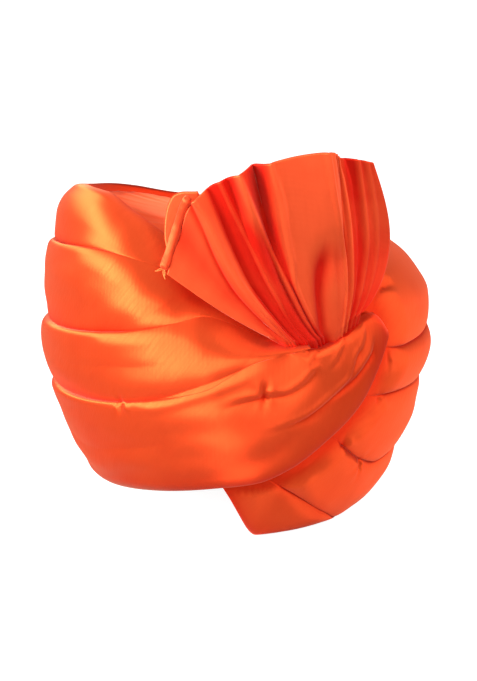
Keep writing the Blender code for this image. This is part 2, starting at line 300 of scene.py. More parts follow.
def ripples(along, across, seed, long_mm, short_mm):
    """Soft uneven waves about 1 high, long one way and short the other, at places in mm."""
    draw = np.random.default_rng(seed)
    total = np.zeros(np.broadcast(along, across).shape)
    waves = 9
    for _ in range(waves):
        turn = draw.uniform(-0.15, 0.15)
        stretch = draw.uniform(0.7, 1.6)
        phase = draw.uniform(0, math.tau, 2)
        wave = np.sin((across + turn * along) / (short_mm * stretch) * math.tau + phase[0])
        total += wave * np.sin(along / (long_mm * stretch) * math.tau + phase[1])
    return total / waves**0.5


def to_route(right, up, route_right, route_up):
    """Distance of places to a route, its side (1 on the left of its way) and the share along it."""
    aside = right[:, None] - route_right
    above = up[:, None] - route_up
    closest = np.argmin(aside**2 + above**2, axis=1)
    k = np.arange(len(closest))
    aside, above = aside[k, closest], above[k, closest]
    way = np.stack([np.gradient(route_right), np.gradient(route_up)], -1)[closest]
    side = np.where(way[:, 0] * above - way[:, 1] * aside < 0, -1, 1)
    return np.hypot(aside, above), side, closest / (len(route_right) - 1)


# Shape of a fold line across its way, in widths of the fold
FOLD_REACH = 5
FOLD_SLOPES = (1.7, 0.8)  # of its left side and its right side
LIP_PLACE = 1.8
LIP_WIDTH = 1.2
FOLD_BOTTOM = 0.3  # rounds the bottom of the fold, in square millimetres
# Shape of the cloth round a tack: a bank pushed up beside it, and short creases like a star
BANK_PLACE = 2.4  # in half widths of the tack
BANK_HEIGHT = 0.3  # in depths of the tack, as the star's
STAR_HEIGHT = 0.22
STAR_POINTS = 5
STAR_REACH_MM = 8


def folded(direction, height):
    """Relief of the fold lines and tacks at places of the wall, in metres."""
    right = -direction * MM_PER_DEGREE
    up = height * WRAP_HEIGHT * 1000
    relief = np.zeros(right.shape)
    for depth, width, lip, route in FOLD_LINES:
        rows = [(k, *place) for k, place in enumerate(route)]
        steps = np.linspace(0, len(route) - 1, 16 * len(route))
        route_right = -read(rows, steps, 1) * MM_PER_DEGREE
        route_up = read(rows, steps, 2) * WRAP_HEIGHT * 1000
        reach = FOLD_REACH * width
        near = (right > route_right.min() - reach) & (right < route_right.max() + reach)
        near &= (up > route_up.min() - reach) & (up < route_up.max() + reach)
        if not near.any():
            continue
        distance, side, share = to_route(right[near], up[near], route_right, route_up)
        fade = ease(share, 0, 0.15) * (1 - ease(share, 0.65, 1))
        spread = np.where(side > 0, *FOLD_SLOPES) * width
        valley = depth * np.exp(-np.sqrt(distance**2 + FOLD_BOTTOM) / spread)
        from_lip = (side * distance + LIP_PLACE * width) / (LIP_WIDTH * width)
        relief[near] += fade * (lip * np.exp(-(from_lip**2)) - valley)
    for tack_direction, tack_height, depth, half_width, half_height in TACKS:
        aside = right + tack_direction * MM_PER_DEGREE
        above = up - tack_height * WRAP_HEIGHT * 1000
        up_or_down = (above / half_height) ** 2
        dent = np.exp(-((aside / half_width) ** 2) - up_or_down)
        bank = np.exp(-(((aside - BANK_PLACE * half_width) / half_width) ** 2) - up_or_down)
        turn = np.arctan2(above, aside)
        away = np.hypot(aside / STAR_REACH_MM, above / STAR_REACH_MM)
        points = np.cos(STAR_POINTS * turn + tack_direction)  # each star is turned another way
        star = STAR_HEIGHT * points * away * np.exp(-(away**2))
        relief += depth * (star + BANK_HEIGHT * bank - dent)
    return relief / 1000


# The front edge of the sweep, under which the far ends of all the wraps are pressed flat
CROSSING = [
    # height, direction
    (0.17, 3),
    (0.185, -10),
    (0.225, -20),
    (0.30, -30),
    (0.40, -40),
    (0.47, -44),
    (0.60, -46),
    (0.72, -43),
]
# The lower left edge of the fan, which lies on the wraps
FAN_EDGE = [
    # direction, height
    (-40, 0.58),
    (-17.5, 0.608),
    (-13.5, 0.624),
    (-9.5, 0.652),
    (-5.5, 0.68),
    (0, 0.72),
    (7, 0.744),
    (16.5, 0.772),
]
SEAT = 0.001  # how deep a wrap's face starts in the wall
SWEEP_STAND = 0.0015  # how far the inner side of the laid over cloth stands off the wall
SWEEP_THICKNESS = 0.0065  # and its outer side, before its swell
KNOT_RISE = 0.014
SHARED_ROUND = (24, 300)
FIRST_SECTIONS = 223
SHARED_SECTIONS = 301
LAST_SECTIONS = 71


def edge_directions(start, end):
    """Directions of the sections along one edge, the same for every wrap on the shared round."""
    first = np.linspace(start, SHARED_ROUND[0], FIRST_SECTIONS)
    middle = np.linspace(*SHARED_ROUND, SHARED_SECTIONS)[1:]
    last = np.linspace(SHARED_ROUND[1], end, LAST_SECTIONS)[1:]
    return np.concatenate([first, middle, last])


def curl_rise(across):
    """Height in metres by which the gathered end of the sweep curls up at a place across it."""
    place = np.clip(across, 0, 1)
    return KNOT_RISE * np.sin(math.pi * (1 - place) ** 2.2)


def closed_mesh(name, sections, cloth, fold, bias=0, corners=()):
    """A closed body through closed sections; corners are the places in each that shade sharp.

    Wraps meet at their corners, and a smooth shade there would draw a seam between them.
    """
    count, size = sections.shape[:2]
    k = np.arange(size)
    n = (k + 1) % size
    start = np.arange(count - 1)[:, None] * size
    quads = np.stack([start + k, start + n, start + size + n, start + size + k], -1).reshape(-1, 4)
    caps = [k[::-1].tolist(), (k + (count - 1) * size).tolist()]
    along = np.gradient(sections, axis=0)
    around = np.roll(sections, -1, axis=1) - np.roll(sections, 1, axis=1)
    piece = cloth_piece(name, sections, quads.tolist() + caps, along, around, cloth, fold, bias)
    ends = np.empty(2 * len(piece.data.edges), np.int32)
    piece.data.edges.foreach_get("vertices", ends)
    ends = ends.reshape(-1, 2) % size
    sharp = (ends[:, 0] == ends[:, 1]) & np.isin(ends[:, 0], corners)
    piece.data.attributes.new("sharp_edge", "BOOLEAN", "EDGE").data.foreach_set("value", sharp)
    return piece


def cloth_piece(name, points, faces, along, around, cloth, fold, bias):
    """A mesh object with the cloth's place, the weft's way and the painted fold shade at each
    point.
    """
    mesh = bpy.data.meshes.new(name)
    mesh.from_pydata(points.reshape(-1, 3).tolist(), [], faces)
    mesh.shade_smooth()
    weft = np.cross(np.cross(along, around), along)
    weft /= np.maximum(np.linalg.norm(weft, axis=-1, keepdims=True), 1e-12)
    warp = along / np.maximum(np.linalg.norm(along, axis=-1, keepdims=True), 1e-12)
    turn = math.radians(bias)
    weft = weft * math.cos(turn) + warp * math.sin(turn)
    for label, values in (("cloth", cloth), ("weft", weft)):
        layer = mesh.attributes.new(label, "FLOAT_VECTOR", "POINT")
        layer.data.foreach_set("vector", values.reshape(-1).astype(np.float32))
    layer = mesh.attributes.new("fold", "FLOAT", "POINT")
    layer.data.foreach_set("value", fold.reshape(-1).astype(np.float32))
    piece = bpy.data.objects.new(name, mesh)
    bpy.context.scene.collection.objects.link(piece)
    return piece


# The band is cut on the bias: degrees by which its threads rise towards the viewer's right
BIAS = 46


def on_bias(place):
    """Places on the band turned to the cloth's own threads, with a third coordinate of 0."""
    turn = math.radians(BIAS)
    along, up = place[..., 0], place[..., 1]
    warp = along * math.cos(turn) - up * math.sin(turn)
    weft = along * math.sin(turn) + up * math.cos(turn)
    return np.stack([warp, weft, 0 * warp], -1)


def rounded(distance, radius, drop):
    """How far an edge has rolled off at a distance from it."""
    inside = np.clip(1 - distance / radius, 0, 1)
    return drop * (1 - np.sqrt(1 - inside**2))


EDGE_LEAD = 0.02  # the edge is read this much higher up than the cloth that it presses on
PRESSED = (2, 14)  # degrees from the edge over which the far ends fill out


def fullness(direction, height):
    """How full a wrap is: its far end is pressed flat under the front edge of the sweep."""
    level = np.clip(height + EDGE_LEAD, CROSSING[0][0], CROSSING[-1][0])
    return ease(360 + read(CROSSING, level) - direction, *PRESSED)


CREASE_GAP = 0.00002  # clearance between two wraps
FACE_ROWS = 61
SWEEP_ROWS = 93
INNER_ROWS = 13
KNOT_SPANS = 14  # equal spans of the band's first sections, which start at the knot
CURL_SPANS = 2.5  # spans after which the curl of the gathered end is gone
# Directions between which the laid over cloth changes
FACE_COMES_DOWN = (-8, 50)
INSIDE_COMES_DOWN = (4, 16)
SETTLES = (-24, -10)  # its upper edge comes down to the wrap above it
LIFTS_NEXT = (8, 20)  # the wrap above comes up to it
LIFTED_SHARE = 0.2
LEAVES_FAN = (8, 30)  # the fan no longer holds the wraps down
FAN_PRESS_MM = (-2, 34)  # below the fan's edge, over which the wraps fill out
# The top wrap is fuller on the viewer's left
FULLER_MM = 7
FULLEST = 76
FULLER_REACH = 30
RIPPLE_MM = 0.5
RIPPLE_LENGTHS_MM = (150, 24)  # along the band and across it
KNOT_ROLL_MM = (7, 6.5)  # radius and drop of the band's end at the knot
CREASE_SHADE_MM = 5  # height over which the painted shade in the creases fades


def padded_wrap(name, low, high, low_ends, high_ends, looks, seed, sweep=False):
    """A padded band of satin between two creases, with rolled lips, folds and tacks."""
    below, above = edge_directions(*low_ends), edge_directions(*high_ends)
    low_look, high_look = looks
    gathered = name == "wrap_1"
    rows = SWEEP_ROWS if gathered else FACE_ROWS
    across = (1 - np.cos(np.linspace(0, math.pi, rows))) / 2
    across = 0.4 * across + 0.6 * np.linspace(0, 1, rows)  # closer together at the creases
    inner_across = np.linspace(1, 0, INNER_ROWS)

    def on_wall(place):
        """Directions and heights at a place across the band, and how tall the band is in mm."""
        direction = below[:, None] * (1 - place) + above[:, None] * place
        top = read(high, above)[:, None] - CREASE_GAP / WRAP_HEIGHT
        bottom = read(low, below)[:, None]
        bottom = bottom + CREASE_GAP / WRAP_HEIGHT * (bottom > 0)
        height = bottom * (1 - place) + top * place
        if gathered:
            spans = np.arange(len(below)) / (FIRST_SECTIONS - 1) * KNOT_SPANS
            knot_end = 1 - ease(spans, 0, CURL_SPANS)[:, None]
            height = height + curl_rise(place) / WRAP_HEIGHT * knot_end
        return direction, height, (top - bottom) * WRAP_HEIGHT * 1000

    def settled(place, direction):
        """How far the laid over cloth has come down again to the wrap above it."""
        down = ease(place, 0.2, 1) * ease(direction, *SETTLES)
        down = down * (1 - LIFTED_SHARE * ease(direction, *LIFTS_NEXT))
        return 0 if gathered else down

    direction, height, tall = on_wall(across)
    emerge, tuck_radius, tuck_drop = (read(low_look, direction, k) for k in (4, 5, 6))
    lip, lip_radius, lip_drop = (read(high_look, direction, k) for k in (1, 2, 3))
    raised = 1 - ease(direction, *FACE_COMES_DOWN) if sweep else np.zeros_like(direction)
    raised = raised * (1 - settled(across, direction))
    if name == "wrap_3":  # its lower edge comes up to the laid over cloth of wrap 2
        raised = LIFTED_SHARE * (1 - ease(direction, *FACE_COMES_DOWN))
        raised = raised * ease(direction, *LIFTS_NEXT) * (1 - ease(across, 0, 0.5))
    base = (-SEAT * (1 - raised) + SWEEP_THICKNESS * raised) * 1000
    swell = read(SWELL, direction) * np.sin(math.pi * across) ** 0.8
    lift = emerge * (1 - across) + lip * across + swell
    lift = lift - rounded((1 - across) * tall, lip_radius, lip_drop)
    lift = lift - rounded(across * tall, tuck_radius, tuck_drop)
    if name == "wrap_4":
        fuller = ease(across, 0.1, 0.7) * (1 - 0.6 * ease(across, 0.8, 1))
        lift = lift + FULLER_MM * fuller * np.exp(-(((direction - FULLEST) / FULLER_REACH) ** 2))
    along_mm = direction * MM_PER_DEGREE
    lift = lift + RIPPLE_MM * ripples(along_mm, across * tall, seed, *RIPPLE_LENGTHS_MM)
    lift = lift + folded(direction, height) * 1000
    if gathered:
        right, up = -along_mm, height * WRAP_HEIGHT * 1000
        from_end = to_route(right.ravel(), up.ravel(), right[0], up[0])[0].reshape(right.shape)
        lift = lift - rounded(from_end, *KNOT_ROLL_MM)
    to_fan = (read(FAN_EDGE, direction) - height) * WRAP_HEIGHT * 1000
    under_fan = np.maximum(ease(to_fan, *FAN_PRESS_MM), ease(direction, *LEAVES_FAN))
    if sweep:
        under_fan = 1 if gathered else np.maximum(under_fan, 1 - ease(across, 0, 0.8))
    lift = (lift * fullness(direction, height) * under_fan + base) / 1000
    outside = wall_point(direction, height, lift)
    # Painted shade: the deep colour grows where the cloth lies low, in creases, folds and tacks
    fold = np.clip(1 - (lift * 1000 - base) / CREASE_SHADE_MM, 0, 1) ** 2

    direction, height, _ = on_wall(inner_across)
    laid_over = 1 - ease(direction, *INSIDE_COMES_DOWN) if sweep else np.zeros_like(direction)
    laid_over = laid_over * (1 - settled(inner_across, direction))
    inside = wall_point(direction, height, -WALL * (1 - laid_over) + SWEEP_STAND * laid_over)
    sections = np.concatenate([outside, inside], 1)
    inner_mm = np.stack([direction * MM_PER_DEGREE, height * WRAP_HEIGHT * 1000], -1)
    cloth = np.concatenate([np.stack([along_mm, across * tall], -1), inner_mm], 1) / 1000
    # painted shade: the inner sides of a wrap take the full deep colour, but the top wrap's little
    inner_shade = 0.1 if name == "wrap_4" else 1  # the top wrap's inner edge shows round the crown
    fold = np.concatenate([fold, np.full_like(direction, inner_shade)], 1)
    piece = closed_mesh(name + "_satin", sections, on_bias(cloth), fold, BIAS, (0, rows - 1))
    piece.data.materials.append(wrap_satin)
    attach(piece, "root")
    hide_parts(name)


# Dyed polyester satin, woven with long floats: the eye sees one soft bright streak across the
# threads, tinted by the dye, and a paler sheen where the cloth turns away. The deep red in the
# folds is painted shade, mixed into the colour by the fold share. Its high metallic value stands
# for the tinted gloss of the floats.
SATIN_LIT = "#EE5326"
# the second colour is painted shade: the red of the folds, and the dark side of the soft clouds
SATIN_SHADE_AND_CLOUD = "#DE3212"
SATIN_GLOSS = "#FFA888"
SATIN_SHEEN = "#FFC6A8"
THREAD_MM = 1.1  # real threads are 0.1 mm apart, which is too fine to show at this distance
SLUB_MM = (22, 1.2)  # length and thickness of the thick places in the thread
CLOUD_SCALE = 28.0  # soft changes of colour, about 36 mm across


def linear(hex_colour):
    """A colour written as sRGB hex, as linear values with alpha."""
    values = [int(hex_colour[k : k + 2], 16) / 255 for k in (1, 3, 5)]
    return (*[v / 12.92 if v <= 0.04045 else ((v + 0.055) / 1.055) ** 2.4 for v in values], 1)


def add(tree, kind, inputs=(), **settings):
    """Adds one node with its settings, and fills its inputs with values or links."""
    made = tree.nodes.new(kind)
    for name, value in settings.items():
        setattr(made, name, value)
    for name, value in dict(inputs).items():
        if isinstance(value, bpy.types.NodeSocket):
            tree.links.new(value, made.inputs[name])
        else:
            made.inputs[name].default_value = value
    return made


def woven_satin(name, lit, shade_and_cloud, roughness, metallic):
    """Dyed polyester satin: painted shade by fold, slubs along the thread, fine weave and soft
    gloss.
    """
    material = bpy.data.materials.new(name)
    material.use_nodes = True
    tree = material.node_tree
    tree.nodes.clear()
    place = add(tree, "ShaderNodeAttribute", attribute_name="cloth").outputs["Vector"]
    weft = add(tree, "ShaderNodeAttribute", attribute_name="weft").outputs["Vector"]
    fold = add(tree, "ShaderNodeAttribute", attribute_name="fold").outputs["Fac"]
    long_mm, short_mm = SLUB_MM
    slub_scale = (1000 / long_mm, 1000 / short_mm, 0)
    stretched = add(tree, "ShaderNodeVectorMath", {0: place, 1: slub_scale}, operation="MULTIPLY")
    slub = add(
        tree,
        "ShaderNodeTexNoise",
        {"Vector": stretched.outputs["Vector"], "Scale": 1.0, "Detail": 2.0, "Roughness": 0.6},
    )
    cloudy = add(
        tree, "ShaderNodeTexNoise", {"Vector": place, "Scale": CLOUD_SCALE, "Detail": 2.0}
    )
    threads = 1000 / THREAD_MM
    weave = add(
        tree,
        "ShaderNodeTexWave",
        {"Vector": place, "Scale": threads / math.tau, "Distortion": 0.6, "Detail": 1.0},
        wave_type="BANDS",
        bands_direction="DIAGONAL",
    )
    shade = add(
        tree,
        "ShaderNodeMapRange",
        {
            "Value": cloudy.outputs["Fac"],
            "From Min": 0.3,
            "From Max": 0.7,
            "To Min": -0.15,
            "To Max": 0.15,
        },
    )
    # how much painted shade: the fold share, moved a little either way by the soft clouds of colour
    depth = add(
        tree,
        "ShaderNodeMath",
        {0: fold, 1: shade.outputs["Result"]},
        operation="ADD",
        use_clamp=True,
    )
    colour = add(
        tree,
        "ShaderNodeMix",
        {0: depth.outputs["Value"], 6: linear(lit), 7: linear(shade_and_cloud)},
        data_type="RGBA",
    )
    rough = add(
        tree,
        "ShaderNodeMapRange",
        {
            "Value": slub.outputs["Fac"],
            "From Min": 0.3,
            "From Max": 0.7,
            "To Min": roughness - 0.04,
            "To Max": roughness + 0.05,
        },
    )
    fine = add(
        tree,
        "ShaderNodeBump",
        {"Strength": 0.09, "Distance": 0.0002, "Height": weave.outputs["Fac"]},
    )
    bump = add(
        tree,
        "ShaderNodeBump",
        {
            "Strength": 0.15,
            "Distance": 0.0003,
            "Height": slub.outputs["Fac"],
            "Normal": fine.outputs["Normal"],
        },
    )
    shader = add(
        tree,
        "ShaderNodeBsdfPrincipled",
        {
            "Base Color": colour.outputs[2],
            "Roughness": rough.outputs["Result"],
            "Metallic": metallic,
            "IOR": 1.5,
            "Specular Tint": linear(SATIN_GLOSS),
            "Normal": bump.outputs["Normal"],
            "Tangent": weft,
            "Anisotropic": 0.97,
            "Sheen Weight": 0.26,
            "Sheen Roughness": 0.4,
            "Sheen Tint": linear(SATIN_SHEEN),
        },
    )
    add(tree, "ShaderNodeOutputMaterial", {"Surface": shader.outputs["BSDF"]}, target="ALL")
    return material


wrap_satin = woven_satin("woven polyester satin, wraps", SATIN_LIT, SATIN_SHADE_AND_CLOUD, 0.53, 0.88)
padded_wrap("wrap_1", RIM, LOW_CREASE, (-50, 352), (-22, 338), (RIM_LOOK, LOW_LOOK), 1, sweep=True)

# Wraps 2, 3 and 4
# The next turns of the same padded satin band, each tucked behind the lip of the one below it and
# held by tack stitches. The ends of wraps 3 and 4 start behind the fan.
MIDDLE_CREASE = [
    # direction, height
    (-50, 0.60),
    (-34, 0.60),
    (-22, 0.60),
    (-12, 0.62),
    (6, 0.68),
    (14, 0.66),
    (32, 0.62),
    (68, 0.57),
    (180, 0.47),
    (270, 0.38),
    (311, 0.40),
    (332, 0.46),
]
HIGH_CREASE = [
    # direction, height
    (-38, 0.73),
    (10, 0.78),
    (46, 0.83),
    (68, 0.81),
    (180, 0.65),
    (270, 0.53),
    (300, 0.53),
    (322, 0.57),
]
CREST_LOOK = [
    # direction, level, radius, drop
    (-60, 1.5, 8, 4.0),
    (360, 1.5, 8, 4.0),
]
low, middle, high, crest = (-22, 338), (-22, 332), (-38, 321.6), (-38, 321.6)
looks = (LOW_LOOK, MIDDLE_LOOK)
padded_wrap("wrap_2", LOW_CREASE, MIDDLE_CREASE, low, middle, looks, 2, sweep=True)
looks = (MIDDLE_LOOK, HIGH_LOOK)
padded_wrap("wrap_3", MIDDLE_CREASE, HIGH_CREASE, (-38, 332), high, looks, 3)
looks = (HIGH_LOOK, CREST_LOOK)
padded_wrap("wrap_4", HIGH_CREASE, CREST, high, crest, looks, 4)

# The brow wrap
# The tail of the same satin, wound first and seen only as a narrow rising band under the apex on
# the brow, at the lower right.
BROW_RIM = [
    # direction, height
    (300, 0.0),
    (347, 0.0),
    (362, 0.19),
]


BROW_START = 305.2
BROW_ENDS = (362, 352)  # at its lower and upper edge
BROW_GAP = 0.00006
BROW_LEVEL_MM = 1.5
BROW_SWELL_MM = 1.5
BROW_TUCK_MM = (8, 4.0)  # radius and drop of its lower edge
BROW_SECTIONS = 60
BROW_ROWS = 25
INNER_STEP = 6  # each sixth row of the face has one inside


def brow_wrap():
    """The rising band under the ends of the wraps."""
    above = np.linspace(BROW_START, BROW_ENDS[1], BROW_SECTIONS)
    below = np.linspace(above[0], BROW_ENDS[0], BROW_SECTIONS)
    across = np.linspace(0, 1, BROW_ROWS)
    direction = below[:, None] * (1 - across) + above[:, None] * across
    bottom = read(BROW_RIM, below)[:, None]
    top = read(RIM, above)[:, None] - BROW_GAP / WRAP_HEIGHT
    height = bottom * (1 - across) + top * across
    tall = (top - bottom) * WRAP_HEIGHT * 1000
    lip, lip_radius, lip_drop = (read(RIM_LOOK, direction, k) for k in (1, 2, 3))
    swell = BROW_SWELL_MM * np.sin(math.pi * across)
    lift = BROW_LEVEL_MM * (1 - across) + lip * across + swell
    lift = lift - rounded((1 - across) * tall, lip_radius, lip_drop)
    lift = lift - rounded(across * tall, *BROW_TUCK_MM)
    lift = lift + folded(direction, height) * 1000
    lift = (lift * fullness(direction, height)) / 1000 - SEAT
    outside = wall_point(direction, height, lift)
    # painted shade: the deep colour grows where the cloth lies low, and is full on its inner side
    fold = np.clip(1 - (lift + SEAT) * 1000 / CREASE_SHADE_MM, 0, 1) ** 2
    cloth = on_bias(np.stack([direction * MM_PER_DEGREE / 1000, height * WRAP_HEIGHT], -1))
    inside = wall_point(direction[:, ::-INNER_STEP], height[:, ::-INNER_STEP], -WALL)
    sections = np.concatenate([outside, inside], 1)
    cloth = np.concatenate([cloth, cloth[:, ::-INNER_STEP]], 1)
    fold = np.concatenate([fold, np.ones_like(fold[:, ::-INNER_STEP])], 1)
    piece = closed_mesh("brow_wrap_satin", sections, cloth, fold, BIAS)
    piece.data.materials.append(wrap_satin)
    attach(piece, "root")
    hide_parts("brow_wrap")


brow_wrap()

# The crown cloth
# One layer of the satin stretched over the crown, its edge gathered and tucked inside the top wrap.
CROWN_HEIGHT = 0.197
CROWN_DROP = 0.008  # how far below the crest its edge is tucked in
CROWN_CLEARANCE = 0.0004
CROWN_WEFT = (0.51, 0.86, 0)  # the way of its weft, seen from above
CROWN_THICKNESS = 0.0012
CROWN_PLACES = 240
CROWN_RINGS = 44
CROWN_MIDDLE = 0.02  # share of the way out at which the rings start
GATHER_HEIGHT = 0.0005
GATHERS = (34, 5, 71)  # round the crown: the gathers, their uneven spacing and the small ones


def sheet_mesh(name, grid, cloth, fold, thickness, wrapped=False):
    """A thin cloth through a grid of points, thickened evenly to both sides."""
    rows, columns = grid.shape[:2]
    i, j = np.meshgrid(np.arange(rows - 1 + wrapped), np.arange(columns - 1), indexing="ij")
    here, beside = i * columns + j, (i + 1) % rows * columns + j
    faces = np.stack([here, beside, beside + 1, here + 1], -1).reshape(-1, 4).tolist()
    across, along = np.gradient(grid, axis=0), np.gradient(grid, axis=1)
    if wrapped:  # one flat cloth: a last face closes its middle, and its threads all run one way
        faces.append([k * columns for k in reversed(range(rows))])
        across = np.broadcast_to(CROWN_WEFT, grid.shape)
        along = np.broadcast_to((-CROWN_WEFT[1], CROWN_WEFT[0], 0), grid.shape)
    piece = cloth_piece(name, grid, faces, along, across, cloth, fold, 0)
    solid = piece.modifiers.new("cloth", "SOLIDIFY")
    solid.thickness = thickness
    solid.offset = 0
    return piece


direction = np.linspace(0, 360, CROWN_PLACES, endpoint=False)[:, None]
share = np.linspace(CROWN_MIDDLE, 1, CROWN_RINGS)
edge = wall_point(direction, read(CREST, direction), -CROWN_DROP)
radius = np.hypot(edge[..., 0], edge[..., 1])
edge[..., :2] *= (1 - CROWN_CLEARANCE / radius)[..., None]
grid = edge * share[None, :, None]
grid[..., 2] = CROWN_HEIGHT + (edge[..., 2] - CROWN_HEIGHT) * share**2
large, uneven, small = (np.radians(direction) * count for count in GATHERS)
gathers = np.sin(large + 2 * np.sin(uneven)) + 0.5 * np.sin(small + 1.3)
near_edge = ease(share, 0.45, 0.9) * (1 - 0.7 * ease(share, 0.93, 1))
grid[..., 2] += GATHER_HEIGHT * gathers * near_edge
# Painted shade in the dips between the gathers
fold = np.clip(-0.2 * gathers * ease(share, 0.4, 1), 0, 1)
cloth = np.stack([grid[..., 0], grid[..., 1], 0 * fold], -1)
crown = sheet_mesh("crown_satin", grid, cloth, fold, CROWN_THICKNESS, wrapped=True)
crown.data.materials.append(wrap_satin)
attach(crown, "root")
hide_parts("crown")

# The pleated fan
# The free end of the cloth, one layer of the same satin, gathered at the knot and spread into set
# pleats that stand up above it, with its left end turned back behind and a rolled hem on that edge.
FAN_LENGTH = 0.132
FAN_STAND = 0.0045  # how far it stands off the wall's oval
FAN_LEAN = 0.053  # share by which that oval is smaller at the fan's tips
FAN_SEAT = 0.0016
FAN_THICKNESS = 0.0014
PLEAT_DEPTH = 0.009
PLEAT_ROOT = 0.2  # share of the depth at the knot
FAN_BOW = 0.012
FOLD_CLOTH = 0.009  # cloth in one fold
HIDDEN_ROOT = -0.1  # share of the length at which the cloth starts, under the sweep
ROOT_DIVE = 0.03  # how far the hidden root goes in, for one whole length
STEPS_PER_FOLD = 16
FAN_STEPS = 99
BACK_FOLD_GAP = 0.0085  # how far the cloth turned back lies behind the fan, at its tips
BACK_FOLD_ROOT_GAP = 0.0032
BACK_FOLD_THICKNESS = 0.0010
BACK_FOLD_PLACES = 37
BACK_FOLD_STEPS = 70
KNOT = -33
KNOT_ENDS = (-50, -22)  # directions between which the sweep's end is gathered
FAN_FOLDS = [
    # root direction, tip angle, length share, bow share, depth share
    (-12.0, 158.0, 0.93, -0.20, 0.10),
    (-14.2, 147.0, 0.965, -0.30, -0.35),
    (-16.4, 136.0, 1.02, -0.50, 0.50),
    (-18.6, 130.5, 1.02, -0.60, -0.20),
    (-20.8, 127.3, 1.01, -0.65, 0.05),
    (-22.6, 124.8, 1.00, -0.70, -0.10),
    (-24.4, 121.2, 0.99, -0.75, 0.55),
    (-26.0, 116.8, 0.98, -0.75, -0.75),
    (-27.6, 113.0, 0.97, -0.70, 0.50),
    (-29.6, 104.3, 0.95, -0.30, 0.30),
    (-31.6, 96.2, 0.935, 0.15, 0.60),
    (-33.4, 93.2, 0.915, 0.20, 0.10),
    (-35.4, 90.6, 0.885, 0.20, -0.60),
    (-38.2, 86.2, 0.875, 0.60, -0.20),
    (-41.0, 81.6, 0.86, 1.35, 0.30),
]
BACK_FOLD = [
    # root direction, tip angle, length share, bow share, depth share
    (-11.5, 156.0, 0.95, -0.10, -0.10),
    (-13.0, 149.5, 1.05, -0.20, -0.15),
    (-14.5, 140.5, 1.12, -0.35, -0.15),
    (-16.0, 134.5, 1.04, -0.40, -0.20),
]


def knot_centre():
    """Middle of the gathered knot, from which the fan's pleats spread."""
    return wall_point(KNOT, read(MIDDLE_CREASE, KNOT), FAN_STAND)


def fan_point(x, z, lift):
    """A point of the upright oval that the fan stands on, leaning back as it rises."""
    rise = (z - knot_centre()[2]) / FAN_LENGTH
    scale = 1 - FAN_LEAN * rise
    side = np.where(x < 0, LEFT_REACH, RIGHT_REACH) * scale + FAN_STAND
    front = FRONT_REACH * scale + FAN_STAND
    y = -front * np.sqrt(1 - (x / side) ** 2)
    normal = np.stack([x / side**2, y / front**2], -1)
    normal /= np.linalg.norm(normal, axis=-1, keepdims=True)
    return np.stack([x + lift * normal[..., 0], y + lift * normal[..., 1], z + 0 * lift], -1)


# Pressed pleat lines on top of the large pleats; a negative height is a valley
FAN_LINES = [
    # height and widths to the left and right in mm, then the route: share of length, place across
    (-2.2, 3.0, 1.6, ((0, 2.2), (0.17, 1.65), (0.38, 1.5), (0.6, 1.65), (0.82, 1.85), (1, 1.9))),
    (2.6, 2.0, 1.4, ((0, 3.0), (0.11, 2.95), (0.24, 2.65), (0.41, 2.3), (0.61, 2.3), (0.84, 2.3),
                     (1, 2.1))),
    (-1.6, 1.4, 3.6, ((0, 3.6), (0.11, 3.5), (0.24, 3.3), (0.41, 3.0), (0.61, 3.0), (0.84, 2.95),
                      (1, 2.8))),
    (1.3, 1.2, 1.0, ((0, 4.9), (0.08, 5.0), (0.27, 5.5), (0.47, 5.35), (0.68, 4.9), (0.85, 4.35),
                     (1, 4.0))),
    (-0.8, 1.2, 2.2, ((0, 5.6), (0.08, 5.7), (0.27, 6.1), (0.47, 6.0), (0.68, 5.6), (0.85, 5.1),
                      (1, 4.8))),
    (3.0, 2.2, 1.4, ((0, 7.2), (0.07, 7.3), (0.24, 7.45), (0.4, 7.2), (0.57, 6.8), (0.83, 6.15),
                     (1, 5.8))),
    (-2.0, 1.4, 2.4, ((0, 7.5), (0.18, 7.8), (0.43, 7.75), (0.71, 7.35), (1, 6.95))),
    (1.6, 1.0, 2.0, ((0, 7.85), (0.13, 8.05), (0.3, 8.05), (0.46, 8.27), (0.74, 8.27), (1, 8.0))),
    # the hollow in the broad pleat, which ends before the tips
    (-4.4, 6.5, 8.0, ((0, 8.3), (0.12, 8.8), (0.27, 9.1), (0.46, 9.5), (0.6, 9.8))),
    (1.8, 2.4, 1.0, ((0, 11.2), (0.06, 11.35), (0.22, 11.75), (0.39, 11.65), (0.59, 10.55),
                     (0.8, 10.05), (1, 9.9))),
    (-1.6, 1.0, 1.0, ((0, 11.6), (0.22, 12.05), (0.39, 12.0), (0.64, 11.6), (0.86, 11.2),
                      (1, 10.8))),
    (2.2, 1.0, 1.0, ((0, 12.1), (0.21, 12.35), (0.38, 12.35), (0.64, 12.3), (0.86, 12.1),
                     (1, 11.6))),
    (-1.4, 1.2, 2.4, ((0, 12.4), (0.11, 12.6), (0.28, 12.7), (0.55, 12.75), (0.82, 12.75),
                      (1, 12.5))),
    (1.4, 1.4, 1.0, ((0, 12.8), (0.1, 12.9), (0.27, 13.0), (0.48, 13.1), (1, 13.1))),
    (1.0, 1.2, 1.0, ((0, 13.4), (0.25, 13.45), (0.47, 13.5), (0.74, 13.55), (1, 13.6))),
]
PLEAT_SHADE_MM = 14  # rise of a pleat that takes all of the painted shade away
LINE_SHADE_MM = 4.5  # and of a pleat line


